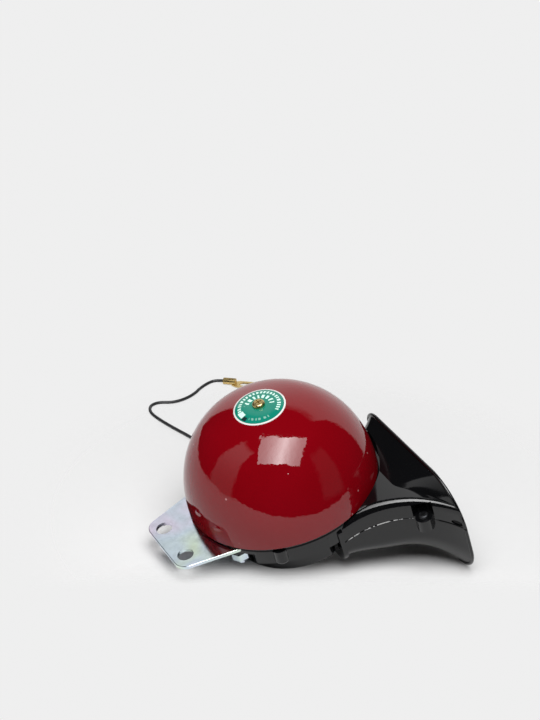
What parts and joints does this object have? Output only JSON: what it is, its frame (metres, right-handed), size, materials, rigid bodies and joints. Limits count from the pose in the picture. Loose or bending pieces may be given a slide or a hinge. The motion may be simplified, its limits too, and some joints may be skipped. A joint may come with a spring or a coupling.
{
  "type": "electric horn",
  "caption": "Electric snail horn for a vehicle: round painted motor cover on a moulded spiral duct that opens in a flared trumpet, with a bolt-on bracket and a free lead.",
  "frame": {"origin": "middle of the two bolt holes, on the top face of the mounting bracket", "axes": "+Z along the horn's axis, out of the bracket's top face towards the cover's crown; +X away from the horn in the bracket's plane; the trumpet opens towards -X"},
  "size_m": [0.1334, 0.2402, 0.1127],
  "materials": {
    "red_paint": "gloss enamel",
    "label_foil": "printed foil under clear film",
    "screw_brass": "bright",
    "zinc_plate": "iridescent zinc plating",
    "can_lacquer": "black lacquer on drawn steel",
    "core_steel": "turned soft iron",
    "spring_steel": "rolled spring steel",
    "bobbin_plastic": "moulded, natural",
    "copper_winding": "enamelled copper wire, wound",
    "gasket_paper": "oiled gasket paper",
    "spring_bronze": "rolled bronze strip",
    "contact_metal": "ground contact metal",
    "insulating_board": "laminated board",
    "black_moulding": "gloss moulded",
    "lead_sheath": "satin insulation",
    "grommet_rubber": "satin rubber",
    "terminal_brass": "stamped"
  },
  "bodies": {
    "horn": {"dome_cover": "red_paint", "cover_label": "label_foil", "cover_screw": "screw_brass", "cover_post": "core_steel", "motor_can": "can_lacquer", "pole_core": "core_steel", "pole_washer": "spring_steel", "pole_nut": "zinc_plate", "coil_bobbin": "bobbin_plastic", "coil_winding": "copper_winding", "upper_gasket": "gasket_paper", "lower_gasket": "gasket_paper", "diaphragm": "spring_steel", "moving_contact_arm": "spring_bronze", "fixed_contact_arm": "spring_bronze", "moving_contact_point": "contact_metal", "fixed_contact_point": "contact_metal", "contact_button": "insulating_board", "contact_insulators": "insulating_board", "contact_clamp_plate": "spring_steel", "contact_rivets": "screw_brass", "adjusting_screw": "zinc_plate", "adjusting_nut": "zinc_plate", "snail_base": "black_moulding", "snail_bowl": "black_moulding", "mounting_bracket": "zinc_plate", "bracket_screws": "zinc_plate", "bracket_nuts": "zinc_plate", "rim_screws": "zinc_plate", "seam_screws": "spring_steel", "lead_grommet": "grommet_rubber", "lead_wire": "lead_sheath", "fork_terminal": "terminal_brass", "trumpet_upper": "black_moulding", "trumpet_lower": "black_moulding"},
    "armature": {"armature": "core_steel", "armature_rivet": "core_steel", "armature_washer": "spring_steel"}
  },
  "joints": [
    {"name": "armature_slide", "type": "slide", "parent": "horn", "child": "armature", "axis": [0, 0, 1], "range_m": [0, 0.0005], "stiffness_N_per_m": 3000, "deforming": ["diaphragm"]}
  ]
}
